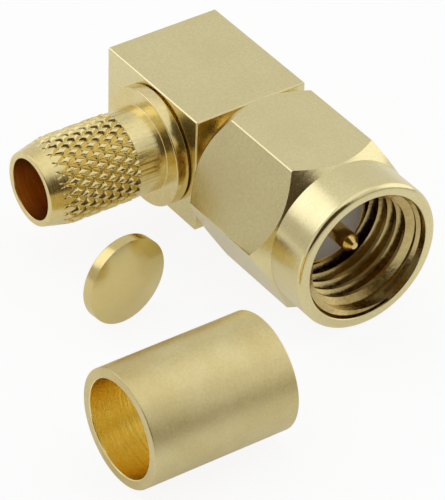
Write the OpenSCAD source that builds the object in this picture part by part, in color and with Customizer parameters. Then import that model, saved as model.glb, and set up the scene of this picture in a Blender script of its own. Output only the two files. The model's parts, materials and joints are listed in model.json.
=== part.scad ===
// Right-angle SMA crimp plug, with its crimp ferrule and its access cap set down beside it.
// The origin is on the coupling axis, in the mating plane. +X points to the mating half,
// the cable leaves towards -Y, and +Z is up.

/* [Body block] */
// Width and height of the square block
block_width = 6.3; // [6:0.05:8]
// From the cable axis to the block's front face, where the coupling side starts
block_front = 3.45; // [3.2:0.05:4]
// From the cable axis to the block's rear face, where the access cap goes
block_rear = 4.2; // [3.6:0.05:5]
// Broken edge of the block
block_edge = 0.06; // [0.04:0.01:0.2]

/* [Outer contact] */
// From the cable axis to the mating plane
mating_reach = 9.8; // [9.4:0.05:12]
// Bore of the outer contact, which holds the dielectric
line_bore_d = 4.12; // [3.9:0.01:4.2]
// Wall of the thin sleeve that enters the mating half
sleeve_wall = 0.225; // [0.15:0.005:0.3]
// Length of the thin sleeve behind the mating plane
sleeve_length = 2.2; // [2.05:0.05:2.4]
// Wall of the neck that the coupling nut turns on
neck_wall = 0.69; // [0.6:0.01:0.72]
// Wall of the shank pressed into the block
shank_wall = 0.34; // [0.25:0.01:0.4]
// Distance from the cable spigot's bore to the end of the shank
shank_setback = 0.14; // [0.05:0.01:0.6]
// Thickness of the inner lip that the dielectric stops against
lip_thickness = 0.8; // [0.5:0.05:1]
// Height of the inner lip
lip_height = 0.36; // [0.2:0.01:0.5]

/* [Centre contact] */
// Diameter of the mating pin
pin_d = 0.914; // [0.9:0.002:0.94]
// Reach of the pin beyond the mating plane
pin_reach = 2.22; // [1.9:0.01:2.29]
// Flat at the tip of the pin
pin_tip_d = 0.33; // [0.2:0.01:0.5]
// Length of the cone at the tip of the pin
pin_tip_length = 0.36; // [0.2:0.01:0.6]
// Diameter of the contact inside the dielectric
contact_d = 1.27; // [1.2:0.01:1.4]
// Height of the contact's stop collar above the fork
collar_height = 0.2; // [0.1:0.01:0.3]
// Thickness of the stop collar
collar_thickness = 0.3; // [0.2:0.05:0.5]
// Diameter of the forked solder end
fork_d = 1.8; // [1.6:0.05:2.2]
// Reach of the forked end beyond the cable axis
fork_overrun = 1.0; // [0.7:0.05:1.3]
// Width of the slot for the cable's conductor
slot_width = 0.95; // [0.5:0.05:1.1]
// Depth of the slot
slot_depth = 1.7; // [1.4:0.05:2]

/* [Snap ring] */
// Thickness of the ring along the coupling axis
ring_width = 0.6; // [0.4:0.02:0.7]
// From the front shoulder of the neck back to the middle of the ring's groove
ring_setback = 0.9; // [0.85:0.01:1.1]
// Depth that the ring sits in the neck
ring_seat = 0.3; // [0.2:0.01:0.35]
// Height that the ring stands into the nut's wall
ring_bite = 0.18; // [0.12:0.01:0.22]
// Opening in the ring, which lets it close as the nut goes on
ring_split = 0.8; // [0.4:0.05:1.5]
// Axial play of the nut and ring on the outer contact, each way
coupling_float = 0.1; // [0.05:0.01:0.12]

/* [Coupling nut] */
// Across the flats of the hexagon
nut_across_flats = 7.94; // [7.9:0.01:8.1]
// Gap between the block's front face and the back of the nut
nut_gap = 0.65; // [0.3:0.05:0.8]
// Reach of the nut's mouth beyond the mating plane
nut_overhang = 3.3; // [2.8:0.05:3.6]
// Step from the flats down to the round nose in front of the hexagon
nose_step = 0.07; // [0.02:0.01:0.2]
// Length of the round nose
nose_length = 2.34; // [1.8:0.02:3]
// Angle of the hexagon's two end chamfers, from the coupling axis
chamfer_angle = 40; // [30:1:50]
// Step from the flats down to the rim of the flat back face
back_step = 0.22; // [0.1:0.01:0.4]
// Rounding of the mouth's outer edge
mouth_edge = 0.26; // [0.15:0.01:0.4]
// Depth of the 45 degree lead-in at the mouth
lead_in = 0.08; // [0.05:0.01:0.2]
// Land between the ring's groove and the relief behind the thread
ring_land = 0.35; // [0.2:0.05:0.6]
// Depth of the relief beyond the thread's major radius
relief_depth = 0.03; // [0.02:0.01:0.1]
// Nominal major diameter of the 36 per inch coupling thread
thread_d = 6.35; // [6.3:0.01:6.4]
// Length of full thread behind the mating plane
thread_behind = 1.6; // [1.2:0.05:1.9]

/* [Crimp stem] */
// Diameter over the crests of the knurl
knurl_d = 4.4; // [4.35:0.01:4.6]
// Depth of the knurl's grooves
knurl_depth = 0.2; // [0.1:0.01:0.22]
// Number of knurl grooves each way round the stem
knurl_starts = 24; // [16:1:30]
// Axial distance between grooves of one hand
knurl_pitch = 1.0; // [0.8:0.05:1.4]
// Share of a diamond's width that is left flat at its crest
knurl_land = 0.34; // [0.15:0.01:0.5]
// From the cable flange to the start of the knurl
shank_run = 1.48; // [1:0.02:2]
// From the start of the knurl to the stem's tip
knurl_run = 4.92; // [3.5:0.02:6]
// Step from the knurl's crests down to the plain part behind the flange
stem_step = 0.05; // [0.03:0.005:0.09]
// Step from the knurl's crests down to the rim of the tip
tip_step = 0.33; // [0.25:0.01:0.4]
// Length of the taper at the tip
tip_taper = 1.5; // [1:0.05:2]
// Bore for the cable's dielectric
stem_bore_d = 3.1; // [3:0.01:3.2]
// Height of the cable flange above the plain part of the stem
flange_rim = 0.87; // [0.6:0.01:0.95]
// Thickness of the cable flange
flange_thickness = 0.67; // [0.4:0.01:1]
// Relief between the cable flange and the block
flange_relief = 0.08; // [0.04:0.01:0.2]
// Step from the flange's edge down to the seat behind it
seat_step = 0.42; // [0.2:0.01:0.6]
// Wall of the spigot pressed into the block
spigot_wall = 0.35; // [0.25:0.01:0.4]
// Length of the spigot in the block
spigot_length = 0.9; // [0.6:0.05:1.1]

/* [Crimp ferrule] */
// Room between the knurl and the ferrule for the cable's braid
braid_room = 0.2; // [0.15:0.01:0.35]
// Wall of the ferrule
ferrule_wall = 0.5; // [0.3:0.01:0.7]
// Length of the ferrule
ferrule_length = 7.75; // [6:0.05:9]
// Broken edges of the ferrule
ferrule_edge = 0.08; // [0.04:0.01:0.15]
// From the cable axis to the axis of the ferrule where it lies
ferrule_ahead = 16.18; // [15:0.02:18]
// From the coupling axis to the near end of the ferrule where it lies
ferrule_beside = 8.15; // [6:0.05:12]

/* [Access cap] */
// Diameter of the cap
cap_d = 4.5; // [4.4:0.01:4.8]
// Thickness of the cap's rim
cap_rim = 0.7; // [0.5:0.02:0.8]
// Height of the dome above the rim
cap_dome = 0.28; // [0.1:0.02:0.4]
// Width of the ledge that the cap stops against in the block
cap_ledge = 0.25; // [0.15:0.01:0.4]
// Broken edges of the cap
cap_edge = 0.08; // [0.04:0.01:0.15]
// From the cable axis to the cap's flat back where it stands
cap_ahead = 6.05; // [5.5:0.05:8]
// From the coupling axis to the middle of the cap's flat back where it stands
cap_beside = 9.2; // [8.5:0.05:10]
// Turn of the cap about the vertical where it stands
cap_turn = 7.2; // [0:0.2:20]

/* [Fits] */
// Clearance on the radius of pressed and captive parts
press_clearance = 0.01; // [0.005:0.001:0.02]
// Running clearance on the radius between the nut and the neck
nut_clearance = 0.05; // [0.03:0.005:0.08]
// Clearance round the snap ring in its two grooves
ring_clearance = 0.03; // [0.02:0.005:0.05]
// Clearance on the radius between the cap and its seat
cap_clearance = 0.02; // [0.01:0.005:0.05]

/* [Hidden] */
$fn = 96;

gold = [0.80, 0.74, 0.50];
white = [0.93, 0.92, 0.88];
overcut = 0.5;

// Diameters that follow from the bores and the walls round them
sleeve_d = line_bore_d + 2 * sleeve_wall;
neck_d = line_bore_d + 2 * neck_wall;
shank_d = line_bore_d + 2 * shank_wall;
lip_bore_d = line_bore_d - 2 * lip_height;
ring_inner_d = neck_d - 2 * ring_seat;
ring_outer_d = neck_d + 2 * nut_clearance + 2 * ring_bite;
nose_d = nut_across_flats - 2 * nose_step;
nut_back_d = nut_across_flats - 2 * back_step;
mouth_d = thread_d + 2 * lead_in;
stem_d = knurl_d - 2 * stem_step;
tip_d = knurl_d - 2 * tip_step;
flange_d = stem_d + 2 * flange_rim;
flange_seat_d = flange_d - 2 * seat_step;
spigot_d = stem_bore_d + 2 * spigot_wall;
ferrule_bore_d = knurl_d + 2 * braid_room;
ferrule_d = ferrule_bore_d + 2 * ferrule_wall;
chamber_d = cap_d - 2 * cap_ledge;

// Stations along the coupling axis, from the mating plane
cable_x = -mating_reach;
block_rear_x = cable_x - block_rear;
block_front_x = cable_x + block_front;
shank_x = cable_x + spigot_d / 2 + press_clearance + shank_setback;
lip_x = shank_x + lip_thickness;
neck_front_x = -sleeve_length;
ring_x = neck_front_x - ring_setback;
nut_back_x = block_front_x + nut_gap;
nose_x = nut_overhang - nose_length;
thread_back_x = -thread_behind;
fork_x = cable_x - fork_overrun;

// Stations along the cable axis, from the coupling axis
block_side = block_width / 2;
spigot_y = block_side - spigot_length;
flange_back_y = block_side + flange_relief;
flange_front_y = flange_back_y + flange_thickness;
knurl_start_y = flange_front_y + shank_run;
tip_y = knurl_start_y + knurl_run;

// The knurl ends on a whole half pitch, a little short of the tip
tip_plain = 0.4;
end_ledge = 0.01;
// The knurl is buried this far in the plain parts at its two ends
bury = 0.02;
knurl_rows = floor(2 * (knurl_run - tip_plain) / knurl_pitch);
knurl_step = knurl_pitch / 2;
knurl_end_y = knurl_start_y + knurl_rows * knurl_step;

// The nut's flat and the two loose pieces lie on one level
rest_z = -nut_across_flats / 2;
nut_corner_r = nut_across_flats / 2 / cos(30);
// Length that a chamfer takes to rise by one unit of radius
chamfer_run = 1 / tan(chamfer_angle);
groove_half = ring_width / 2 + ring_clearance;
neck_wall_r = neck_d / 2 + nut_clearance;
relief_r = thread_d / 2 + relief_depth;

// A solid turned about the coupling axis, from [radius, x] points
module turned_on_x(outline) rotate([0, 90, 0]) rotate_extrude() polygon(outline);

// A solid turned about the cable axis, from [radius, distance from the coupling axis] points
module turned_on_cable(outline)
    translate([cable_x, 0, 0]) rotate([90, 0, 0]) rotate_extrude() polygon(outline);

// A hole along the coupling axis, between two stations
module hole_on_x(d, from, to)
    translate([from, 0, 0]) rotate([0, 90, 0]) cylinder(d = d, h = to - from);

// A hole along the cable axis, between two distances from the coupling axis
module hole_on_cable(d, from, to)
    translate([cable_x, -from, 0]) rotate([90, 0, 0]) cylinder(d = d, h = to - from);

// A rectangle with its corners cut at 45 degrees
function cut_rectangle(w, h, c) = [
    [w / 2, h / 2 - c], [w / 2 - c, h / 2], [c - w / 2, h / 2], [-w / 2, h / 2 - c],
    [-w / 2, c - h / 2], [c - w / 2, -h / 2], [w / 2 - c, -h / 2], [w / 2, c - h / 2]];

// A box with all its edges cut at 45 degrees, centred
module edged_box(length, width, edge) intersection() {
    linear_extrude(width, center = true) polygon(cut_rectangle(length, width, edge));
    rotate([90, 0, 0])
        linear_extrude(width, center = true) polygon(cut_rectangle(length, width, edge));
    rotate([0, 90, 0])
        linear_extrude(length, center = true) polygon(cut_rectangle(width, width, edge));
}

// Square block, bored right through along the coupling axis and from its cable side
module body_block() color(gold) difference() {
    translate([(block_rear_x + block_front_x) / 2, 0, 0])
        edged_box(block_front_x - block_rear_x, block_width, block_edge);
    hole_on_x(chamber_d, block_rear_x - overcut, shank_x + overcut);
    hole_on_x(cap_d + 2 * cap_clearance, block_rear_x - overcut, block_rear_x + cap_rim);
    hole_on_x(shank_d + 2 * press_clearance, shank_x, block_front_x + overcut);
    hole_on_cable(spigot_d + 2 * press_clearance, 0, block_side + overcut);
}

// Turned shell: shank, neck with the snap ring's groove, and the thin mating sleeve
module outer_contact() color(gold) difference() {
    groove_r = ring_inner_d / 2 - ring_clearance;
    float_half = groove_half + coupling_float;
    edge = 0.08;
    turned_on_x([
        [lip_bore_d / 2, shank_x], [shank_d / 2 - edge, shank_x], [shank_d / 2, shank_x + edge],
        [shank_d / 2, block_front_x], [neck_d / 2, block_front_x],
        [neck_d / 2, ring_x - float_half], [groove_r, ring_x - float_half],
        [groove_r, ring_x + float_half], [neck_d / 2, ring_x + float_half],
        [neck_d / 2, neck_front_x - edge], [neck_d / 2 - edge, neck_front_x],
        [sleeve_d / 2, neck_front_x], [sleeve_d / 2, -edge], [sleeve_d / 2 - edge, 0],
        [lip_bore_d / 2, 0]]);
    hole_on_x(line_bore_d, lip_x, overcut);
}

// White insulator that fills the shell from its lip to the mating plane
module dielectric() color(white) difference() {
    hole_on_x(line_bore_d - 2 * press_clearance, lip_x, 0);
    hole_on_x(contact_d + 2 * press_clearance, lip_x - overcut, overcut);
}

// Pin, line conductor, stop collar and forked solder end, turned in one piece
module centre_contact() color(gold) difference() {
    collar_r = fork_d / 2 + collar_height;
    turned_on_x([
        [0, fork_x], [fork_d / 2, fork_x], [fork_d / 2, lip_x - collar_thickness],
        [collar_r, lip_x - collar_thickness], [collar_r, lip_x], [contact_d / 2, lip_x],
        [contact_d / 2, 0], [pin_d / 2, 0], [pin_d / 2, pin_reach - pin_tip_length],
        [pin_tip_d / 2, pin_reach], [0, pin_reach]]);
    translate([fork_x - overcut, -fork_d, -slot_width / 2])
        cube([slot_depth + overcut, 2 * fork_d, slot_width]);
}

// Split ring that sits half in the neck's groove and half in the nut's
module snap_ring() color(gold) difference() {
    hole_on_x(ring_outer_d, ring_x - ring_width / 2, ring_x + ring_width / 2);
    hole_on_x(ring_inner_d, ring_x - ring_width, ring_x + ring_width);
    translate([ring_x - ring_width, -ring_split / 2, 0])
        cube([2 * ring_width, ring_split, ring_outer_d]);
}

// Outside of the nut: a hexagon chamfered at both ends, which a round nose carries on
module nut_outside() {
    front_x = nose_x - (nut_corner_r - nose_d / 2) * chamfer_run;
    back_x = nut_back_x + (nut_corner_r - nut_back_d / 2) * chamfer_run;
    intersection() {
        translate([nut_back_x, 0, 0]) rotate([0, 90, 0]) rotate([0, 0, 30])
            cylinder(r = nut_corner_r, h = nut_overhang - nut_back_x, $fn = 6);
        rotate([0, 90, 0]) rotate_extrude() difference() {
            polygon([
                [0, nut_back_x], [nut_back_d / 2, nut_back_x], [nut_corner_r, back_x],
                [nut_corner_r, front_x], [nose_d / 2, nose_x], [nose_d / 2, nut_overhang],
                [0, nut_overhang]]);
            translate([nose_d / 2 - mouth_edge, nut_overhang - mouth_edge]) difference() {
                square(mouth_edge + overcut);
                circle(mouth_edge);
            }
        }
    }
}

// Nut with its back bore, ring groove, thread relief and lead-in; the thread's bore is plain
module coupling_nut() color(gold) difference() {
    nut_outside();
    hole_on_x(2 * neck_wall_r, nut_back_x - overcut, thread_back_x);
    hole_on_x(ring_outer_d + 2 * ring_clearance, ring_x - groove_half, ring_x + groove_half);
    hole_on_x(2 * relief_r, ring_x + groove_half + ring_land, thread_back_x);
    hole_on_x(thread_d, thread_back_x, nut_overhang + overcut);
    turned_on_x([
        [0, nut_overhang - lead_in], [thread_d / 2, nut_overhang - lead_in],
        [mouth_d / 2, nut_overhang], [0, nut_overhang]]);
}

// Radius of the stem's blank, at a distance from the coupling axis
function blank_r(y) = min(knurl_d, tip_d + (knurl_d - tip_d) * (tip_y - y) / tip_taper) / 2;

// Radius at the bottom of the knurl's grooves, which run out on the taper
function valley_r(y) = min(knurl_d / 2 - knurl_depth, land_r(y));

// Radius on the knurl's lands. Its first and last rows end just under the plain parts.
function land_r(y) = y < knurl_start_y ? stem_d / 2 - end_ledge
                   : y > knurl_end_y ? blank_r(y) - end_ledge
                   : blank_r(y);

// Distance of a row of the knurl from the coupling axis
function row_y(j) = j == 0 ? knurl_start_y - bury
                  : j == knurl_rows ? knurl_end_y + bury
                  : knurl_start_y + j * knurl_step;

// A point of the stem's surface: distance along the cable axis, turn in diamonds, radius
function on_stem(y, turn, r) =
    [r * cos(turn * 360 / knurl_starts), r * sin(turn * 360 / knurl_starts), y];

// Diamond knurl as a solid between its two end planes. Grooves of both hands cross at the
// nodes of a staggered lattice. Each diamond between four nodes rises to a small flat land.
module knurl() {
    n = knurl_starts;
    last = knurl_rows;
    half_land = knurl_land / 2;
    // Five points for each place in a row: its node, then the land's left, low, right and high
    points = [for (j = [0:last]) let (y = row_y(j)) for (i = [0:n - 1])
        let (turn = i + (j % 2) / 2, middle = turn + 0.5,
             low = max(y - knurl_land * knurl_step, row_y(0)),
             high = min(y + knurl_land * knurl_step, row_y(last)))
        for (p = [on_stem(y, turn, valley_r(y)), on_stem(y, middle - half_land, land_r(y)),
                  on_stem(low, middle, land_r(low)), on_stem(y, middle + half_land, land_r(y)),
                  on_stem(high, middle, land_r(high))]) p];
    start_centre = len(points);
    end_centre = start_centre + 1;
    // Index of one of the five points, at row j and place i
    function at(j, i, k) = 5 * (j * n + (i + n) % n) + k;
    // The node straight above or below the land of row j and place i, one row away
    function beyond(j, i, way) = at(j + way, i + j % 2, 0);
    lands = [for (j = [0:last]) for (i = [0:n - 1])
        for (t = [[at(j, i, 2), at(j, i, 3), at(j, i, 4)],
                  [at(j, i, 2), at(j, i, 4), at(j, i, 1)]]) t];
    high_sides = [for (j = [0:last - 1]) for (i = [0:n - 1]) let (top = beyond(j, i, 1))
        for (t = [[at(j, i + 1, 0), top, at(j, i, 4)], [at(j, i + 1, 0), at(j, i, 4), at(j, i, 3)],
                  [top, at(j, i, 0), at(j, i, 1)], [top, at(j, i, 1), at(j, i, 4)]]) t];
    low_sides = [for (j = [1:last]) for (i = [0:n - 1]) let (base = beyond(j, i, -1))
        for (t = [[at(j, i, 0), base, at(j, i, 2)], [at(j, i, 0), at(j, i, 2), at(j, i, 1)],
                  [base, at(j, i + 1, 0), at(j, i, 3)], [base, at(j, i, 3), at(j, i, 2)]]) t];
    start_cap = [for (i = [0:n - 1]) let (k = [at(0, i, 0), at(0, i, 1), at(0, i, 2),
                                              at(0, i, 3), at(0, i + 1, 0)])
        for (m = [0:3]) [start_centre, k[m + 1], k[m]]];
    end_cap = [for (i = [0:n - 1]) let (k = [at(last, i, 0), at(last, i, 1), at(last, i, 4),
                                            at(last, i, 3), at(last, i + 1, 0)])
        for (m = [0:3]) [end_centre, k[m], k[m + 1]]];
    polyhedron(concat(points, [[0, 0, row_y(0)], [0, 0, row_y(last)]]),
               [for (f = concat(lands, high_sides, low_sides, start_cap, end_cap))
                   [f[2], f[1], f[0]]]);
}

// Turned stem with its spigot, flange and diamond knurl, bored for the cable's dielectric
module crimp_stem() color(gold) difference() {
    edge = 0.06;
    union() {
        turned_on_cable([
            [0, spigot_y], [spigot_d / 2, spigot_y], [spigot_d / 2, block_side],
            [flange_seat_d / 2, block_side], [flange_seat_d / 2, flange_back_y],
            [flange_d / 2 - edge, flange_back_y], [flange_d / 2, flange_back_y + edge],
            [flange_d / 2, flange_front_y - edge], [flange_d / 2 - edge, flange_front_y],
            [stem_d / 2, flange_front_y], [stem_d / 2, knurl_start_y], [0, knurl_start_y]]);
        translate([cable_x, 0, 0]) rotate([90, 0, 0]) knurl();
        turned_on_cable([
            [0, knurl_end_y], [blank_r(knurl_end_y), knurl_end_y],
            [blank_r(tip_y - edge), tip_y - edge], [blank_r(tip_y) - edge, tip_y], [0, tip_y]]);
    }
    hole_on_cable(stem_bore_d, spigot_y - overcut, tip_y + overcut);
    turned_on_cable([
        [0, tip_y - edge], [stem_bore_d / 2, tip_y - edge], [stem_bore_d / 2 + edge, tip_y],
        [0, tip_y]]);
}

// Plain tube crimped over the cable's braid and the knurl, lying on its side
module crimp_ferrule() color(gold)
    translate([cable_x + ferrule_ahead, -ferrule_beside, rest_z + ferrule_d / 2])
        rotate([90, 0, 0]) rotate_extrude() polygon([
            for (end = [0, 1]) let (y = end * ferrule_length, inward = 1 - 2 * end,
                                    inner = ferrule_bore_d / 2, outer = ferrule_d / 2)
                each end == 0
                    ? [[inner, y + ferrule_edge], [inner + ferrule_edge, y],
                       [outer - ferrule_edge, y], [outer, y + ferrule_edge]]
                    : [[outer, y - ferrule_edge], [outer - ferrule_edge, y],
                       [inner + ferrule_edge, y], [inner, y - ferrule_edge]]]);

// Domed disc that closes the block's rear bore, standing on its rim
module access_cap() color(gold)
    translate([cable_x + cap_ahead, -cap_beside, rest_z + cap_d / 2]) rotate([0, 90, cap_turn]) {
        face_r = cap_d / 2 - cap_edge;
        dome_r = (face_r * face_r + cap_dome * cap_dome) / (2 * cap_dome);
        rotate_extrude() {
            polygon([
                [0, 0], [face_r, 0], [cap_d / 2, cap_edge], [cap_d / 2, cap_rim - cap_edge],
                [face_r, cap_rim], [0, cap_rim]]);
            translate([0, cap_rim]) intersection() {
                translate([0, cap_dome - dome_r]) circle(dome_r);
                square([face_r, cap_dome]);
            }
        }
    }

body_block();
outer_contact();
dielectric();
centre_contact();
snap_ring();
coupling_nut();
crimp_stem();
crimp_ferrule();
access_cap();
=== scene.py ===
# %% [markdown]
# # A right-angle coaxial plug for a crimped cable
# The plug is a small gold-plated assembly: a square block, a hexagon nut that turns on a
# shell, a knurled stem for the cable, and two loose pieces, the crimp ferrule and the cap of
# the soldering hole. The construction model gives every size and place. This script gives the
# metal its finish, and rebuilds the pieces whose look depends on fine edges or fine teeth.

# %% Load the frame
import json
import math

import bmesh
import bpy
import numpy as np
from mathutils import Matrix, Vector


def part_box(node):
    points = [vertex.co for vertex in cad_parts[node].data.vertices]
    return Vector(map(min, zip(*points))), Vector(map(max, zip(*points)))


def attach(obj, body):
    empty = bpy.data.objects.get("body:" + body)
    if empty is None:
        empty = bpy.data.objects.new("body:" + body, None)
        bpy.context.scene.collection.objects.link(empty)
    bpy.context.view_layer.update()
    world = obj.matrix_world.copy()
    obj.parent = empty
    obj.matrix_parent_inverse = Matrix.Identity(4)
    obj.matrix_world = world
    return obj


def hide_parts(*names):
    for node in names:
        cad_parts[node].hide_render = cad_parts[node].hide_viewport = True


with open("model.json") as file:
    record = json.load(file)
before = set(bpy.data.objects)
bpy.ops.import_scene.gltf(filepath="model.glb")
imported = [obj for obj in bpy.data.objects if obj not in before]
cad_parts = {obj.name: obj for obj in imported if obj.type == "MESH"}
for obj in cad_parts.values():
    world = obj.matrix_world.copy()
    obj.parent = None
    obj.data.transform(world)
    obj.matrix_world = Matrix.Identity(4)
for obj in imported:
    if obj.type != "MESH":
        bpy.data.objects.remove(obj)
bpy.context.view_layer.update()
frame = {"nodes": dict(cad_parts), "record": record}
MM = 0.001
mounts = {m["name"]: m for m in frame["record"]["mounts"]}

# %% [markdown]
# ## Sizes
# The corners of each piece are read from the construction model, and so are the radii of the
# thread, the shank and the bores, and the shank's length. The few sizes below it, such as the
# width of a rounded edge, are named here. All sizes are in millimetres until a mesh is written.


# %% Read the main sizes
def box_mm(node):
    """The lowest and highest corner of a construction piece, in millimetres."""
    low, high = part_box(node)
    return np.array(low) / MM, np.array(high) / MM


block_low = box_mm("body_block")[0]
nut_low, nut_high = box_mm("coupling_nut")
stem_low, stem_high = box_mm("crimp_stem")
ferrule_low, ferrule_high = box_mm("crimp_ferrule")
cap_low, cap_high = box_mm("access_cap")
cable_x = (stem_low[0] + stem_high[0]) / 2
floor_z = nut_low[2]
print("cable axis at x", round(cable_x, 3), "floor at z", round(floor_z, 3))

# %% [markdown]
# ## Camera
# The plug is seen from its right and from above, through a long lens, so that the block's
# top, its cable side and the nut's mouth all show. The camera is placed by two angles and a
# distance from a point that it looks at, and then turned a little about its own axis.

# %% Place the camera
AZIMUTH, ELEVATION, ROLL = 54.572, 36.738, 1.493
DISTANCE = 196.975
AIM_RIGHT, AIM_UP = 0.64, -6.21
LENS, CLIP_START = 292.1, 10


def turned_axes(azimuth, elevation, roll):
    """The camera's right, up and back directions, from three angles in degrees."""
    a, e, t = (math.radians(v) for v in (azimuth, elevation, roll))
    back = Vector((math.sin(a) * math.cos(e), -math.cos(a) * math.cos(e), math.sin(e)))
    right = Vector((math.cos(a), math.sin(a), 0))
    up = back.cross(right)
    return (right * math.cos(t) + up * math.sin(t), up * math.cos(t) - right * math.sin(t), back)


right, up, back = turned_axes(AZIMUTH, ELEVATION, ROLL)
aim = Vector((cable_x, 0, 0)) + right * AIM_RIGHT + up * AIM_UP
camera_data = bpy.data.cameras.new("camera")
camera_data.lens = LENS
camera_data.clip_start = CLIP_START * MM
camera = bpy.data.objects.new("camera", camera_data)
bpy.context.scene.collection.objects.link(camera)
camera.matrix_world = Matrix.Translation((aim + back * DISTANCE) * MM) @ Matrix(
    (right, up, back)).transposed().to_4x4()
bpy.context.scene.camera = camera
print("camera at", [round(v / MM, 1) for v in camera.matrix_world.translation])

# %% [markdown]
# ## Surfaces from formulas
# A turned piece is a closed outline carried round an axis, and a cut or rolled pattern only
# changes the radius as it goes. So one helper writes a grid of points into a mesh, one rounds
# the corners of an outline, and one carries the outline round.


# %% Helpers for surfaces
def write_mesh(name, points, faces):
    """A mesh object from an array of points in millimetres and lists of point numbers.
    If the volume that the faces enclose comes out negative, every face is turned round."""
    mesh = bpy.data.meshes.new(name)
    mesh.from_pydata((points * MM).tolist(), [], faces)
    mesh.update(calc_edges=True)
    mesh.calc_loop_triangles()
    corners = np.zeros(len(mesh.loop_triangles) * 3, np.int32)
    mesh.loop_triangles.foreach_get("vertices", corners)
    a, b, c = points[corners.reshape(-1, 3)].transpose(1, 0, 2)
    volume = float(np.einsum("ij,ij->i", a, np.cross(b, c)).sum() / 6)
    if volume < 0:
        mesh.flip_normals()
    piece = bpy.data.objects.new(name, mesh)
    bpy.context.scene.collection.objects.link(piece)
    print(f"{name}: {len(mesh.loop_triangles)} triangles, {abs(volume):.2f} mm3")
    return piece


def grid_faces(rows, columns, wrap_rows=True):
    """Four-sided faces of a grid whose columns wrap round, and whose rows may."""
    last = rows if wrap_rows else rows - 1
    i, j = np.meshgrid(np.arange(last), np.arange(columns), indexing="ij")
    k, n = (i + 1) % rows, (j + 1) % columns
    return np.stack([i * columns + j, i * columns + n, k * columns + n, k * columns + j],
                    axis=-1).reshape(-1, 4).tolist()


def rounded(corners, steps=6):
    """An outline with its corners rounded. Each corner is (along, radius, rounding). A corner
    with a rounding becomes an arc from one side's tangent point to the other's, written as a
    quadratic curve whose middle point weighs the sine of half the corner's angle."""
    pts = np.array([c[:2] for c in corners], float)
    out = []
    for i, (_, _, size) in enumerate(corners):
        here, before, after = pts[i], pts[i - 1], pts[(i + 1) % len(pts)]
        if size == 0:
            out.append(here[None])
            continue
        towards = [(p - here) / np.linalg.norm(p - here) for p in (before, after)]
        start, end = here + towards[0] * size, here + towards[1] * size
        middle = math.sqrt((1 - towards[0] @ towards[1]) / 2)
        t = np.linspace(0, 1, steps + 1)[:, None]
        weights = (1 - t) ** 2, 2 * middle * t * (1 - t), t ** 2
        out.append((weights[0] * start + weights[1] * here + weights[2] * end) / sum(weights))
    return np.vstack(out)


def round_axis(along, radius, angle, axis, centre=(0, 0, 0)):
    """Points at a distance along an axis, a radius from it and an angle round it.
    Axis "x" runs along +X, and axis "y" along -Y, the way the cable leaves."""
    c, s = radius * np.cos(angle), radius * np.sin(angle)
    parts = (along + 0 * c, c, s) if axis == "x" else (c, -along + 0 * c, s)
    return np.stack(parts, axis=-1) + np.asarray(centre)


def carried_round(name, outline, axis, centre=(0, 0, 0), columns=192):
    """A closed outline of (along, radius) points carried round an axis as one closed ring."""
    angle = np.linspace(0, 2 * np.pi, columns, endpoint=False)
    points = round_axis(outline[:, :1], outline[:, 1:], angle[None], axis, centre)
    return write_mesh(name, points.reshape(-1, 3), grid_faces(len(outline), columns))


def smooth(piece, sharp_above=32):
    """Shades a piece smooth, and keeps the edges that fold by more than an angle sharp."""
    piece.data.polygons.foreach_set("use_smooth", [True] * len(piece.data.polygons))
    piece.data.set_sharp_from_angle(angle=math.radians(sharp_above))


# %% [markdown]
# ## Coupling nut
# On the real nut a hexagon bar is turned at both ends, so each flat ends in an arc where the
# cone of the chamfer cuts it. Going round the axis, the hexagon's radius is known in every
# direction, and the cone says how far along that radius is reached. One grid can therefore
# follow the arcs exactly. The corners of the hexagon are rounded a little, as plating does.

# %% Outline of the hexagon
NUT_CORNER = 0.13
FLAT_POINTS, CORNER_POINTS = 36, 7


def hexagon_outline(half_flats):
    """Angle and radius round a hexagon with flats up and down and small round corners.
    A flat is a straight run of points, and a corner is an arc through 60 degrees."""
    inner = half_flats - NUT_CORNER
    half_side = inner * math.tan(math.pi / 6)
    run = np.linspace(-half_side, half_side, FLAT_POINTS)
    turn = np.linspace(0, math.pi / 3, CORNER_POINTS + 2)[1:-1]
    side_y = np.concatenate([run, half_side + NUT_CORNER * np.sin(turn)])
    side_z = np.concatenate([0 * run + half_flats, inner + NUT_CORNER * np.cos(turn)])
    six = np.arange(6)[:, None] * math.pi / 3
    y = side_y * np.cos(six) + side_z * np.sin(six)
    z = side_z * np.cos(six) - side_y * np.sin(six)
    return np.arctan2(z, y).ravel(), np.hypot(y, z).ravel()


hexagon_angle, hexagon_radius = hexagon_outline(nut_high[2])
print("hexagon radius from", hexagon_radius.min().round(3), "to", hexagon_radius.max().round(3))

# %% Build the nut
CHAMFER_RUN = 1 / math.tan(math.radians(40))
NOSE_STEP, BACK_STEP, NOSE_LENGTH = 0.07, 0.22, 2.34
MOUTH_EDGE, LEAD_IN, LEAD_EDGE = 0.26, 0.04, 0.03
MOUTH_STEP, MOUTH_DEPTH = 0.15, 0.42
THREAD_RADIUS = mounts["coupling_thread"]["dims"]["r_mm"]
NECK_BORE, RING_BORE, RELIEF_BORE = 2.8, 3.01, 3.205
RING_BACK, RING_FRONT, RELIEF_BACK, THREAD_BACK = -3.43, -2.77, -2.42, -1.6


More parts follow.
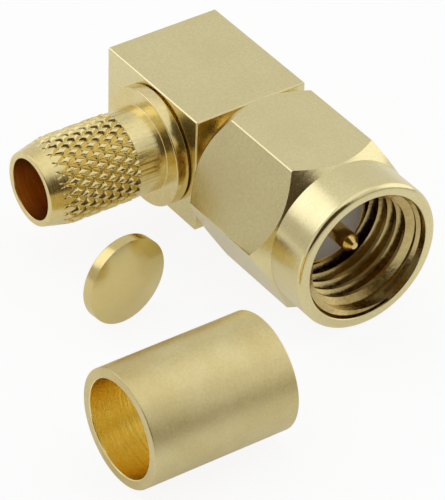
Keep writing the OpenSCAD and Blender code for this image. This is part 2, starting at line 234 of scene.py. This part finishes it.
def nut_surface():
    """Rows of points round the nut. Each row is a place on its closed outline. Where a row
    lies on the hexagon its radius is the hexagon's, and its place follows from the cones."""
    half = nut_high[2]
    nose, rim = half - NOSE_STEP, half - BACK_STEP
    back, mouth = nut_low[0], nut_high[0]
    nose_x = mouth - NOSE_LENGTH
    wide = THREAD_RADIUS + MOUTH_STEP
    one = np.ones_like(hexagon_radius)
    edge = rounded([(back, rim - 1, 0), (back, rim, LEAD_EDGE), (back + CHAMFER_RUN, rim + 1, 0)])
    rows = [(x * one, r * one) for x, r in edge[1:-1]]
    rows += [(back + (hexagon_radius - rim) * CHAMFER_RUN, hexagon_radius),
             (nose_x - (hexagon_radius - nose) * CHAMFER_RUN, hexagon_radius)]
    front = rounded([
        (nose_x, nose, 0), (mouth, nose, MOUTH_EDGE),
        (mouth, wide + LEAD_IN, LEAD_EDGE), (mouth - LEAD_IN, wide, 0),
        (mouth - MOUTH_DEPTH, wide, 0), (mouth - MOUTH_DEPTH - MOUTH_STEP, THREAD_RADIUS, 0),
        (THREAD_BACK, THREAD_RADIUS, 0), (THREAD_BACK, RELIEF_BORE, 0),
        (RELIEF_BACK, RELIEF_BORE, 0), (RELIEF_BACK, NECK_BORE, 0), (RING_FRONT, NECK_BORE, 0),
        (RING_FRONT, RING_BORE, 0), (RING_BACK, RING_BORE, 0), (RING_BACK, NECK_BORE, 0),
        (back, NECK_BORE, LEAD_EDGE)], steps=8)
    rows += [(x * one, r * one) for x, r in front]
    return np.array([r[0] for r in rows]), np.array([r[1] for r in rows])


along, radius = nut_surface()
points = round_axis(along, radius, hexagon_angle[None], "x")
nut = write_mesh("nut_shell", points.reshape(-1, 3), grid_faces(*along.shape))
smooth(nut)
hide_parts("coupling_nut")
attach(nut, "nut")

# %% [markdown]
# The thread is one right-hand ridge with 36 turns to the inch. Its section is a trapezium,
# carried along a helix, whose foot lies inside the wall. At both ends the ridge sinks into
# the wall over less than half a turn, as a tap leaves it.

# %% Build the thread
PITCH = 25.4 / 36
RIDGE_HEIGHT, CREST_WIDTH, FLANK = 0.375, PITCH / 4, math.tan(math.radians(30))
THREAD_FRONT, THREAD_END = nut_high[0] - MOUTH_DEPTH, math.radians(-65)
FADE_TURNS, FOOT = 0.4, 0.04


def thread_ridge(steps_per_turn=160):
    """A right-hand helix of trapezium sections. With each turn, from +Y towards +Z, the ridge
    moves on along +X by one pitch. Its height rises from below the wall to full height at the
    start, and sinks again at the end."""
    turns = (THREAD_FRONT - THREAD_BACK) / PITCH
    turn = np.linspace(0, turns, int(turns * steps_per_turn))[:, None]
    fade = np.clip(np.minimum(turn, turns - turn) / FADE_TURNS, 0, 1)
    height = (RIDGE_HEIGHT + FOOT) * np.sin(fade * np.pi / 2) - FOOT * 0.9
    middle = THREAD_BACK + turn * PITCH
    foot_half = CREST_WIDTH / 2 + (RIDGE_HEIGHT + FOOT) * FLANK
    crest_half = foot_half - (height + FOOT) * FLANK
    side = np.array([-1, -1, -0.5, 0.5, 1, 1])[None]
    low = np.array([1, 0, 0, 0, 0, 1])[None]
    half = low * foot_half + (1 - low) * crest_half
    x = middle + side * half
    r = THREAD_RADIUS + low * FOOT - (1 - low) * height
    angle = THREAD_END + 2 * np.pi * (turn - turns) + 0 * x
    rows = round_axis(x, r, angle, "x").reshape(-1, 3)
    n = len(turn)
    faces = grid_faces(n, 6, wrap_rows=False)
    faces += [list(range(5, -1, -1)), list(range(6 * n - 6, 6 * n))]
    return rows, faces


thread = write_mesh("nut_thread", *thread_ridge())
smooth(thread, sharp_above=25)
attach(thread, "nut")

# %% [markdown]
# ## Crimp stem
# The stem is turned, and its knurl is rolled: two sets of grooves, one of each hand, leave
# diamonds between them. A square grid would cut across the grooves, so the knurled part uses
# a staggered grid, whose edges all run along the grooves. The rest is an outline carried
# round, on the same columns, so that the two join point to point.

# %% Sizes of the stem
STARTS, KNURL_PITCH, KNURL_ROWS = 24, 1.0, 9
KNURL_RADIUS, KNURL_DEPTH, LAND = 2.2, 0.2, 0.34
SHANK_RADIUS = mounts["stem_shank"]["dims"]["r_mm"]
SHANK_RUN = mounts["stem_shank"]["dims"]["length_mm"]
STEM_BORE = mounts["stem_bore"]["dims"]["r_mm"]
TIP_RADIUS, TIP_TAPER, STEM_EDGE = 1.87, 1.5, 0.06
FLANGE_RIM, FLANGE_WIDTH, FLANGE_FILLET, RELIEF = 0.87, 0.67, 0.05, 0.08
SEAT_RADIUS, SPIGOT_RADIUS = 2.6, 1.9
tip_y = -stem_low[1]
seat_y = -block_low[1]
flange_y = seat_y + RELIEF + FLANGE_WIDTH
knurl_y = flange_y + SHANK_RUN
knurl_end_y = knurl_y + KNURL_ROWS * KNURL_PITCH / 2
print("knurl from", round(knurl_y, 2), "to", round(knurl_end_y, 2), "tip at", round(tip_y, 2))

# %% Radius of the knurl
CELLS = 12
START_RUN = 0.03


def blank_radius(y):
    """Radius of the blank: level over the knurl, with a straight taper down to the tip."""
    taper = TIP_RADIUS + (KNURL_RADIUS - TIP_RADIUS) * (tip_y - y) / TIP_TAPER
    return np.minimum(KNURL_RADIUS, taper)


def knurl_radius(y, turn):
    """Radius at a distance along the stem and an angle counted in diamonds. The nearer of the
    two grooves is a V whose sides bend over to the land near their top, as rolled metal does.
    The cut stays at one level, so that it runs out where the taper passes under it, and it
    fades in at the plain shank."""
    w = (y - knurl_y) / KNURL_PITCH
    nearest = np.minimum(*(np.abs(v - np.round(v)) for v in (turn + w, turn - w)))
    v = np.clip(nearest / (0.5 * (1 - LAND)), 0, 1)
    v = v * (7 - v ** 6) / 6
    rise = np.clip((y - knurl_y) / START_RUN, 0, 1)
    rise = rise * rise * (3 - 2 * rise)
    crest = SHANK_RADIUS + (KNURL_RADIUS - SHANK_RADIUS) * rise
    return np.minimum(crest - KNURL_DEPTH * rise * (1 - v), blank_radius(y))


# %% Rows of the stem
def stem_rows():
    """The stem as rows of equal length round the cable axis: first the staggered rows of the
    knurl, then the plain outline from the knurl's end over the tip, through the bore, and
    back over the flange to the knurl's start. Every second knurl row is half a column on."""
    columns = STARTS * CELLS
    fine = CELLS * KNURL_ROWS
    row = np.arange(fine + 1)
    y = knurl_y + row * KNURL_PITCH / (2 * CELLS)
    turn = (np.arange(columns)[None] + (row % 2)[:, None] / 2) / CELLS
    knurl = (y[:, None] + 0 * turn, knurl_radius(y[:, None], turn), turn)
    collar = flange_y - FLANGE_WIDTH
    rim = SHANK_RADIUS + FLANGE_RIM
    inner_y = -stem_high[1]
    plain = rounded([
        (tip_y, TIP_RADIUS, STEM_EDGE), (tip_y, STEM_BORE, STEM_EDGE), (inner_y, STEM_BORE, 0),
        (inner_y, SPIGOT_RADIUS, 0), (seat_y, SPIGOT_RADIUS, 0), (seat_y, SEAT_RADIUS, 0),
        (collar, SEAT_RADIUS, 0), (collar, rim, STEM_EDGE), (flange_y, rim, STEM_EDGE),
        (flange_y, SHANK_RADIUS, FLANGE_FILLET)])
    side = (fine % 2) / 2
    even = (np.arange(columns)[None] + side) / CELLS + 0 * plain[:, :1]
    rest = (plain[:, :1] + 0 * even, plain[:, 1:] + 0 * even, even)
    return [np.vstack(pair) for pair in zip(knurl, rest)], fine, columns


(stem_y, stem_r, stem_turn), fine, columns = stem_rows()


# %% Faces of the stem
def staggered_faces(fine, columns):
    """Four-sided faces that stand on a corner, each between three staggered rows, with a row
    of triangles at both ends."""
    i = np.arange(columns)

    def at(row, shift):
        return row * columns + (i + shift) % columns

    diamonds = [np.stack([at(k, 0), at(k + 1, k % 2), at(k + 2, 0), at(k + 1, k % 2 - 1)],
                         axis=-1) for k in range(fine - 1)]
    first = np.stack([at(0, 0), at(0, 1), at(1, 0)], axis=-1)
    last = np.stack([at(fine, 1), at(fine, 0), at(fine - 1, fine % 2)], axis=-1)
    return np.vstack(diamonds).tolist() + first.tolist() + last.tolist()


def plain_faces(fine, rows, columns):
    """Faces of the plain rows, from the knurl's last row round to its first."""
    ring = np.array(grid_faces(rows - fine, columns, wrap_rows=False)) + fine * columns
    i, after = np.arange(columns), (np.arange(columns) + 1) % columns
    top = (rows - 1) * columns
    close = np.stack([top + i, top + after, after, i], axis=-1)
    return ring.tolist() + close.tolist()


# %% Build the stem
points = round_axis(stem_y, stem_r, stem_turn * 2 * np.pi / STARTS, "y", (cable_x, 0, 0))
faces = staggered_faces(fine, columns) + plain_faces(fine, len(stem_y), columns)
stem = write_mesh("knurled_stem", points.reshape(-1, 3), faces)
smooth(stem, sharp_above=35)
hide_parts("crimp_stem")
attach(stem, "connector")

# %% [markdown]
# ## Body block, shell and pin
# The block is milled from bar and bored in three directions, and the shell and the pin are
# turned. The construction model already has their exact shapes, so each mesh is copied and
# its doubled points are merged. A Bevel modifier then eases every edge, because a real edge
# is never perfectly sharp and catches a thin line of light.


# %% Ease the edges
EASE_WIDTH, EASE_ANGLE = 0.02, 30
WELD, FLAT_ANGLE = 1e-7, 0.5


def eased_copy(node, name):
    """A welded copy of a construction piece, with all edges that fold by more than the ease
    angle rounded to the ease width. Faces that lie nearly flat to each other are joined."""
    mesh = frame["nodes"][node].data.copy()
    mesh.materials.clear()
    shape = bmesh.new()
    shape.from_mesh(mesh)
    bmesh.ops.remove_doubles(shape, verts=shape.verts, dist=WELD)
    bmesh.ops.dissolve_limit(shape, angle_limit=math.radians(FLAT_ANGLE), verts=shape.verts,
                             edges=shape.edges)
    shape.to_mesh(mesh)
    shape.free()
    piece = bpy.data.objects.new(name, mesh)
    bpy.context.scene.collection.objects.link(piece)
    bevel = piece.modifiers.new("eased_edges", "BEVEL")
    bevel.width, bevel.segments = EASE_WIDTH * MM, 3
    bevel.limit_method, bevel.angle_limit = "ANGLE", math.radians(EASE_ANGLE)
    bevel.harden_normals = True
    smooth(piece, sharp_above=EASE_ANGLE)
    return piece


block = eased_copy("body_block", "square_block")
shell = eased_copy("outer_contact", "contact_shell")
pin = eased_copy("centre_contact", "centre_pin")
for piece, node, slot in [(block, "body_block", "plated_body"),
                          (shell, "outer_contact", "plated_bright"),
                          (pin, "centre_contact", "plated_bright")]:
    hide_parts(node)
    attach(piece, "connector")
    print(piece.name, len(piece.data.polygons), "faces before its edges are eased")

# %% [markdown]
# ## Crimp ferrule and access cap
# Both are simple turned pieces. The ferrule is a tube whose four edges are tumbled round, and
# the cap is a disc with a shallow dome, so its outline starts and ends on the axis.

# %% Build the ferrule
FERRULE_EDGE = 0.06
ferrule_bore = mounts["ferrule_bore"]["dims"]["r_mm"]
ferrule_radius = (ferrule_high[0] - ferrule_low[0]) / 2
ferrule_centre = ((ferrule_low[0] + ferrule_high[0]) / 2, 0, floor_z + ferrule_radius)
near, far = -ferrule_high[1], -ferrule_low[1]
ferrule = carried_round("ferrule_tube", rounded([
    (near, ferrule_bore, FERRULE_EDGE), (near, ferrule_radius, FERRULE_EDGE),
    (far, ferrule_radius, FERRULE_EDGE), (far, ferrule_bore, FERRULE_EDGE)]), "y", ferrule_centre)
smooth(ferrule)
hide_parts("crimp_ferrule")
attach(ferrule, "connector")

# %% Outline and faces of the cap
CAP_RIM, CAP_DOME, CAP_EDGE = 0.58, 0.4, 0.06
DOME_ROWS, BACK_ROWS = 39, 6


def domed_disc(radius, columns=160):
    """Rows round the disc's axis: flat back, round edge, rim, then a dome whose fall from its
    top grows with the radius squared. The two middles are single points on the axis."""
    inside = radius / 2
    edge = rounded([(0, inside, 0), (0, radius, CAP_EDGE), (CAP_RIM, radius, 0)])[1:]
    share = np.sin(np.linspace(math.pi / 2, 0, DOME_ROWS + 1))[:-1]
    dome = np.stack([CAP_RIM + CAP_DOME * (1 - share ** 2), radius * share], axis=-1)
    spread = np.linspace(0.1, 1, BACK_ROWS + 1)[:-1]
    back = np.stack([0 * spread, spread * edge[0, 1]], axis=-1)
    outline = np.vstack([back, edge, dome[1:]])
    angle = np.linspace(0, 2 * np.pi, columns, endpoint=False)
    rows = round_axis(outline[:, :1], outline[:, 1:], angle[None], "x").reshape(-1, 3)
    poles = [[0, 0, 0], [CAP_RIM + CAP_DOME, 0, 0]]
    n, i = len(rows), np.arange(columns)
    after, top = (i + 1) % columns, (len(outline) - 1) * columns
    faces = grid_faces(len(outline), columns, wrap_rows=False)
    faces += np.stack([after, i, 0 * i + n], axis=-1).tolist()
    faces += np.stack([top + i, top + after, 0 * i + n + 1], axis=-1).tolist()
    return np.vstack([rows, poles]), faces


# %% Build the cap
# The disc is turned about the upright axis, and its middle is moved to the middle of its box.
CAP_TURN = math.radians(7.2)
points, faces = domed_disc((cap_high[2] - cap_low[2]) / 2)
points = points @ np.array([[math.cos(CAP_TURN), math.sin(CAP_TURN), 0],
                            [-math.sin(CAP_TURN), math.cos(CAP_TURN), 0], [0, 0, 1]])
points = points + (cap_low + cap_high) / 2 - (points.min(0) + points.max(0)) / 2
cap = write_mesh("domed_cap", points, faces)
smooth(cap)
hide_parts("access_cap")
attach(cap, "connector")

# %% [markdown]
# ## Finishes
# All the metal is the same pale gold plate, but each piece was finished in its own way. The
# block and the nut are satin, the stem and the cap are bright, and the ferrule is matt. Three
# effects are shared and are made once, as node groups: fine grain, turning marks, and a slow
# drift of the plate's tone.


# %% Tools for node trees
class Tree:
    """A thin wrapper that adds nodes to a tree and links them, so that recipes stay short."""

    def __init__(self, tree):
        self.tree = tree

    def add(self, kind, inputs=None, **settings):
        node = self.tree.nodes.new(kind)
        for key, value in settings.items():
            setattr(node, key, value)
        for key, value in (inputs or {}).items():
            self.put(node, key, value)
        return node

    def put(self, node, key, value):
        """Links or sets a socket. With None it keeps the value that it has."""
        if isinstance(value, bpy.types.NodeSocket):
            self.tree.links.new(value, node.inputs[key])
        elif value is not None:
            node.inputs[key].default_value = value

    def math(self, operation, *values):
        node = self.add("ShaderNodeMath", operation=operation)
        for k, value in enumerate(values):
            self.put(node, k, value)
        return node.outputs[0]

    def noise(self, vector, scale, detail, roughness=0.5):
        node = self.add("ShaderNodeTexNoise", {"Vector": vector, "Scale": scale,
                        "Detail": detail, "Roughness": roughness})
        return node.outputs["Fac"]

    def remap(self, value, low, high, to_low, to_high):
        node = self.add("ShaderNodeMapRange", {"Value": value, "From Min": low,
                        "From Max": high, "To Min": to_low, "To Max": to_high})
        return node.outputs["Result"]

    def mix(self, factor, a, b):
        """A mix of two colours. Sockets 6 and 7 and output 2 are the node's colour ones."""
        node = self.add("ShaderNodeMix", {"Factor": factor}, data_type="RGBA")
        self.put(node, 6, a)
        self.put(node, 7, b)
        return node.outputs[2]

    def place(self):
        """The piece's own coordinates, in millimetres."""
        own = self.add("ShaderNodeTexCoord").outputs["Object"]
        return self.add("ShaderNodeVectorMath", {0: own, 1: (1 / MM, 1 / MM, 1 / MM)},
                        operation="MULTIPLY").outputs[0]


def new_group(name, inputs, outputs):
    """An empty node group with named sockets. Returns its tree, input node and output node."""
    group = bpy.data.node_groups.new(name, "ShaderNodeTree")
    for socket, kind, default in inputs:
        item = group.interface.new_socket(socket, in_out="INPUT", socket_type=kind)
        if default is not None:
            item.default_value = default
    for socket, kind in outputs:
        group.interface.new_socket(socket, in_out="OUTPUT", socket_type=kind)
    tree = Tree(group)
    return tree, tree.add("NodeGroupInput"), tree.add("NodeGroupOutput")


FLOAT, VECTOR, COLOUR = "NodeSocketFloat", "NodeSocketVector", "NodeSocketColor"

# %% Group: fine grain
tree, given, result = new_group(
    "fine_grain", [("Place", VECTOR, None), ("Grain", FLOAT, 14.0)],
    [("Height", FLOAT), ("Speckle", FLOAT)])
fine_noise = tree.noise(given.outputs["Place"], given.outputs["Grain"], 3.0, 0.6)
tree.put(result, "Height", fine_noise)
tree.put(result, "Speckle", tree.remap(fine_noise, 0.35, 0.65, -1.0, 1.0))
fine_grain = tree.tree
print("group:", fine_grain.name)

# %% Group: turning marks
# Marks run round an axis, so their height depends on the place along it and on the radius.
# It also changes slowly across, so that a mark fades out after a part of a turn.
ACROSS_SHARE = 0.09
tree, given, result = new_group(
    "turning_marks", [("Along", FLOAT, 0.0), ("Radius", FLOAT, 0.0), ("Across", FLOAT, 0.0),
                      ("Fineness", FLOAT, 12.0)],
    [("Height", FLOAT), ("Streak", FLOAT)])
slowly = tree.math("MULTIPLY", given.outputs["Across"], ACROSS_SHARE)
place = tree.add("ShaderNodeCombineXYZ", {"X": given.outputs["Along"],
                 "Y": given.outputs["Radius"], "Z": slowly})
marks = tree.noise(place.outputs[0], given.outputs["Fineness"], 4.0, 0.65)
tree.put(result, "Height", marks)
tree.put(result, "Streak", tree.remap(marks, 0.3, 0.7, -1.0, 1.0))
turning_marks = tree.tree
print("group:", turning_marks.name)

# %% Group: drift of the plate's tone
tree, given, result = new_group(
    "plate_tone", [("Place", VECTOR, None), ("Pale", COLOUR, (1, 1, 1, 1)),
                   ("Deep", COLOUR, (1, 1, 1, 1)), ("Size", FLOAT, 0.5)],
    [("Colour", COLOUR)])
slow = tree.noise(given.outputs["Place"], given.outputs["Size"], 3.0, 0.55)
tree.put(result, "Colour", tree.mix(tree.remap(slow, 0.3, 0.7, 0.0, 1.0),
                                    given.outputs["Pale"], given.outputs["Deep"]))
plate_tone = tree.tree
print("group:", plate_tone.name)

# %% [markdown]
# Each metal reads the piece's Object coordinates, in millimetres. The grain feeds a Bump node
# and the marks feed a second one after it. Both also vary the roughness a little, which is
# what makes a plated surface look like metal and not like plastic.


# %% The recipe of a plated metal
TONE_SIZE, POLISH_RUN = 0.35, 0.05


def linear(*rgb):
    """A colour written as screen values from 0 to 255, as linear light."""
    c = np.array(rgb) / 255
    c = np.where(c <= 0.04045, c / 12.92, ((c + 0.055) / 1.055) ** 2.4)
    return (*c.tolist(), 1.0)


def round_places(tree, place, axis, centre):
    """The place along an axis, the place across it, and the distance from it."""
    parts = tree.add("ShaderNodeSeparateXYZ", {0: place}).outputs
    first, second, along = {"x": ("Y", "Z", "X"), "y": ("X", "Z", "Y")}[axis]
    offsets = [tree.math("SUBTRACT", parts[s], c) for s, c in zip((first, second), centre)]
    squares = [tree.math("MULTIPLY", v, v) for v in offsets]
    return parts[along], parts[second], tree.math("SQRT", tree.math("ADD", *squares))


def plated(name, pale, deep, rough, grain=None, marks=None, bore=None, polish=None):
    """A gold plate. grain is (cells per mm, bump in mm, share of roughness, share of colour),
    and marks is (axis, centre, fineness, bump in mm, share of roughness). bore is (radius,
    colour, roughness) for the surface nearer to the marks' axis than that radius, and only
    that surface then has marks. polish is (start along the axis, roughness)."""
    material = bpy.data.materials.new(name)
    material.use_nodes = True
    tree = Tree(material.node_tree)
    place = tree.place()
    colour = tree.add("ShaderNodeGroup", {"Place": place, "Pale": pale, "Deep": deep,
                      "Size": TONE_SIZE}, node_tree=plate_tone).outputs["Colour"]
    roughness, normal = rough, None
    if grain:
        cells, bump, share, speckle = grain
        group = tree.add("ShaderNodeGroup", {"Place": place, "Grain": cells},
                         node_tree=fine_grain)
        roughness = tree.math("MULTIPLY_ADD", group.outputs["Speckle"], share, roughness)
        level = tree.math("MULTIPLY_ADD", group.outputs["Speckle"], speckle, 1.0)
        colour = tree.add("ShaderNodeVectorMath", {0: colour, "Scale": level},
                          operation="SCALE").outputs[0]
        normal = tree.add("ShaderNodeBump", {"Height": group.outputs["Height"],
                          "Distance": bump * MM}).outputs[0]
    if marks:
        axis, centre, fineness, bump, share = marks
        along, across, radius = round_places(tree, place, axis, centre)
        group = tree.add("ShaderNodeGroup", {"Along": along, "Radius": radius, "Across": across,
                         "Fineness": fineness}, node_tree=turning_marks)
        height, streak = group.outputs["Height"], group.outputs["Streak"]
        # Inside the bore the plate's colour gives way to the bore's colour, which for the ferrule
        # is painted light.
        if bore:
            inside = tree.math("LESS_THAN", radius, bore[0])
            colour = tree.mix(inside, colour, bore[1])
            roughness = tree.math("MULTIPLY_ADD", inside, bore[2] - rough, roughness)
            height, streak = (tree.math("MULTIPLY", inside, v) for v in (height, streak))
        if polish:
            past = tree.remap(along, polish[0], polish[0] + POLISH_RUN, 0.0, 1.0)
            roughness = tree.math("MULTIPLY_ADD", past, polish[1] - rough, roughness)
        roughness = tree.math("MULTIPLY_ADD", streak, share, roughness)
        normal = tree.add("ShaderNodeBump", {"Height": height, "Distance": bump * MM,
                          "Normal": normal}).outputs[0]
    shader = material.node_tree.nodes["Principled BSDF"]
    for socket, value in [("Metallic", 1.0), ("Base Color", colour), ("Roughness", roughness),
                          ("Normal", normal)]:
        tree.put(shader, socket, value)
    print("material:", name)
    return material


# %% The plated metals
def dress(piece, material):
    """Gives a piece one material."""
    piece.data.materials.clear()
    piece.data.materials.append(material)


PALE, DEEP = linear(236, 224, 172), linear(232, 218, 164)
satin = plated("satin_plate", PALE, DEEP, 0.19, grain=(9, 0.004, 0.03, 0.05))
satin_turned = plated("satin_turned_plate", PALE, DEEP, 0.22, grain=(9, 0.003, 0.02, 0.04),
                      marks=("x", (0, 0), 9, 0.004, 0.03), polish=(nut_high[0] - 0.3, 0.1))
bright = plated("bright_turned_plate", linear(238, 222, 164), linear(232, 212, 146), 0.22,
                grain=(5, 0.002, 0.03, 0.05), marks=("y", (cable_x, 0), 11, 0.003, 0.04))
polished = plated("polished_plate", linear(230, 212, 150), linear(220, 200, 132), 0.19,
                  grain=(10, 0.0015, 0.02, 0.02))
# The ferrule's bore is paler and brighter than its outside: painted light inside the tube.
matt = plated("matt_plate", linear(230, 216, 162), linear(216, 197, 136), 0.36,
              grain=(7, 0.006, 0.05, 0.05),
              marks=("y", (ferrule_centre[0], ferrule_centre[2]), 7, 0.026, 0.08),
              bore=(ferrule_bore + 0.05, linear(250, 234, 164), 0.18))
inner = plated("inner_plate", linear(236, 210, 140), linear(228, 198, 122), 0.18,
               marks=("x", (0, 0), 9, 0.003, 0.03))
# The thread and the nut's mouth get a darker, browner plate: painted shade inside the nut.
shaded_thread = plated("threaded_plate", linear(212, 192, 136), linear(192, 166, 102), 0.2,
                  grain=(5, 0.008, 0.06, 0.1), marks=("x", (0, 0), 9, 0.003, 0.03))
# The stem's bore gets a deeper, redder plate: painted shade inside the bore.
shaded_stem_bore = plated("stem_bore_plate", linear(243, 219, 160), linear(236, 207, 141), 0.2,
                     marks=("y", (cable_x, 0), 6, 0.004, 0.05))

# %% Give each piece its metal
for piece, material in [(nut, satin_turned), (thread, shaded_thread), (stem, bright), (block, satin),
                        (shell, inner), (pin, inner), (ferrule, matt), (cap, polished)]:
    dress(piece, material)
    print(piece.name, "is of", material.name)
dress(frame["nodes"]["snap_ring"], inner)

# %% [markdown]
# Inside a narrow bore the plate is given a darker, deeper colour, which is painted shade of the
# recess.
# So the faces of the nut's mouth and of the stem's bore have a metal of their own.


# %% Line the bores with painted shade
SLACK = 0.01


def face_middles(piece):
    """The middle of every face, in millimetres, as three arrays x, y and z."""
    middles = np.zeros(len(piece.data.polygons) * 3)
    piece.data.polygons.foreach_get("center", middles)
    return middles.reshape(-1, 3).T / MM


def line_bore(piece, material, inside):
    """Gives a second material to the faces that an array of true and false picks."""
    piece.data.materials.append(material)
    piece.data.polygons.foreach_set("material_index", inside.astype(np.int32))
    print(piece.name, "has", int(inside.sum()), "faces in its bore")


x, y, z = face_middles(nut)
line_bore(nut, shaded_thread, (np.hypot(y, z) < THREAD_RADIUS + MOUTH_STEP + SLACK)
          & (x > nut_low[0] + LEAD_EDGE))
x, y, z = face_middles(stem)
line_bore(stem, shaded_stem_bore, np.hypot(x - cable_x, z) < STEM_BORE + STEM_EDGE / 2)

# %% The white insulator
# It is a waxy plastic: nearly white and softly glossy.
wax = bpy.data.materials.new("white_insulator")
wax.use_nodes = True
tree = Tree(wax.node_tree)
shader = wax.node_tree.nodes["Principled BSDF"]
cloud = tree.noise(tree.place(), 3.0, 3.0)
tree.put(shader, "Base Color", tree.mix(cloud, linear(226, 220, 210), linear(238, 234, 226)))
tree.put(shader, "Roughness", tree.remap(cloud, 0.3, 0.7, 0.4, 0.5))
dress(frame["nodes"]["dielectric"], wax)
print("materials:", len(bpy.data.materials))

# %% [markdown]
# ## Floor and light
# Bright metal shows what surrounds it, so the room matters more than the lamps. It is a white
# tent: a pale floor, a soft dome, and a darker patch where the camera stands. Where the room
# is dark it is also warm. The light on the floor falls off far to the right of the plug, so
# that the lying tube mirrors a darker band between the bright floor and the bright sky.

# %% Floor
# The camera sees it nearly plain white. A mirror image sees the shadows of the pieces on it
# more strongly, and sees its far right side dark.
FLOOR_HALF = 600
SEEN_LEVEL, SEEN_SHARE, MIRRORED_SHARE = 1.03, 0.86, 0.42
FALLOFF_START, FALLOFF_END = 4, 45  # along X, in millimetres
NEAR_LEVEL, FAR_LEVEL = 0.95, 0.15
half = FLOOR_HALF * MM
floor_mesh = bpy.data.meshes.new("floor")
floor_mesh.from_pydata([(-half, -half, 0), (half, -half, 0), (half, half, 0), (-half, half, 0)],
                       [], [(0, 1, 2, 3)])
floor = bpy.data.objects.new("floor", floor_mesh)
floor.location.z = floor_z * MM
bpy.context.scene.collection.objects.link(floor)
print("floor at", round(floor_z, 3))

# %% Paper of the floor
paper = bpy.data.materials.new("white_paper")
paper.use_nodes = True
tree = Tree(paper.node_tree)
nodes = paper.node_tree.nodes
nodes.remove(nodes["Principled BSDF"])
matte = tree.add("ShaderNodeBsdfDiffuse", {"Color": (0.9, 0.9, 0.9, 1)})
path = tree.add("ShaderNodeLightPath").outputs
mirrored = tree.math("MAXIMUM", path["Is Glossy Ray"], path["Is Transmission Ray"])
share = tree.math("MULTIPLY_ADD", path["Is Camera Ray"], SEEN_SHARE,
                  tree.math("MULTIPLY", mirrored, MIRRORED_SHARE))
along_x = tree.add("ShaderNodeSeparateXYZ",
                   {0: tree.add("ShaderNodeTexCoord").outputs["Object"]}).outputs["X"]
falloff = tree.add("ShaderNodeMapRange", {
    "Value": along_x, "From Min": FALLOFF_START * MM, "From Max": FALLOFF_END * MM,
    "To Min": NEAR_LEVEL, "To Max": FAR_LEVEL}, interpolation_type="SMOOTHSTEP")
level = tree.add("ShaderNodeMix", {"Factor": path["Is Camera Ray"],
                 "A": falloff.outputs["Result"], "B": SEEN_LEVEL})
glow = tree.add("ShaderNodeEmission", {"Color": (1, 1, 1, 1), "Strength": level.outputs[0]})
both = tree.add("ShaderNodeMixShader", {0: share, 1: matte.outputs[0], 2: glow.outputs[0]})
tree.put(nodes["Material Output"], "Surface", both.outputs[0])
floor_mesh.materials.append(paper)
print("floor's nodes:", len(nodes))

# %% World
world = bpy.data.worlds.new("tent")
bpy.context.scene.world = world
world.use_nodes = True
tree = Tree(world.node_tree)
nodes = world.node_tree.nodes
direction = tree.add("ShaderNodeTexCoord").outputs["Generated"]


def patch(towards, inner, outer, change):
    """A soft round patch of the sky. Within the inner angle the sky changes by the given
    amount, and the change fades away towards the outer angle. Angles are in degrees."""
    towards = tuple(Vector(towards).normalized())
    cosine = tree.add("ShaderNodeVectorMath", {0: direction, 1: towards},
                      operation="DOT_PRODUCT").outputs["Value"]
    node = tree.add("ShaderNodeMapRange", {
        "Value": cosine, "From Min": math.cos(math.radians(outer)),
        "From Max": math.cos(math.radians(inner)), "To Min": 0.0, "To Max": change},
        interpolation_type="SMOOTHSTEP")
    return node.outputs["Result"]


WARM_DARK, WHITE = (1.0, 0.7, 0.32, 1.0), (1, 1, 1, 1)
SKY_LEVEL, SKY_LEAST, SKY_WHITE = 0.70, 0.06, 0.6
sky = SKY_LEVEL
for towards, inner_angle, outer_angle, change in [
        (back, 12, 34, -0.62),                   # the camera and who stands there
        ((0.9, -0.42, 0.2), 30, 47, -0.62),      # the open front of the tent
        ((-0.65, -0.75, 0.05), 12, 34, -0.16),   # the table's edge on the left
        ((0.2, 0.95, 0.2), 20, 45, 0.5),         # a white card behind the plug
        ((0, 0.15, 1), 16, 42, 0.25),            # the lit roof of the tent
        ((0.8, 0.47, 0.02), 8, 26, -0.22)]:      # the table's edge on the right
    sky = tree.math("ADD", sky, patch(towards, inner_angle, outer_angle, change))
sky = tree.math("MAXIMUM", sky, SKY_LEAST)
seen = tree.add("ShaderNodeLightPath").outputs["Is Camera Ray"]
strength = tree.math("ADD", tree.math("MULTIPLY", sky, tree.math("SUBTRACT", 1.0, seen)), seen)
whiteness = tree.math("MAXIMUM", tree.remap(sky, SKY_LEAST, SKY_WHITE, 0.0, 1.0), seen)
tree.put(nodes["Background"], "Color", tree.mix(whiteness, WARM_DARK, WHITE))
tree.put(nodes["Background"], "Strength", strength)
print("sky's nodes:", len(nodes))


# %% Lamps
def soft_lamp(name, direction, size, power, tint, distance=140):
    """A square lamp that looks at the plug from a direction. Size and distance are in mm."""
    data = bpy.data.lights.new(name, "AREA")
    data.size, data.energy, data.color = size * MM, power, tint
    lamp = bpy.data.objects.new(name, data)
    lamp.location = Vector(direction).normalized() * distance * MM
    lamp.rotation_euler = Vector(direction).to_track_quat("Z", "Y").to_euler()
    bpy.context.scene.collection.objects.link(lamp)
    print("lamp:", name, "at", [round(v / MM, 1) for v in lamp.location])


soft_lamp("left_softbox", (-0.65, -0.46, 0.62), 84, 0.0155, (0.97, 1.0, 1.2))

# %% Finish
# Light runs to and fro between the turns of the thread, so mirror images go ten deep.
bpy.context.scene.view_settings.view_transform = "Standard"
bpy.context.scene.cycles.glossy_bounces = 10
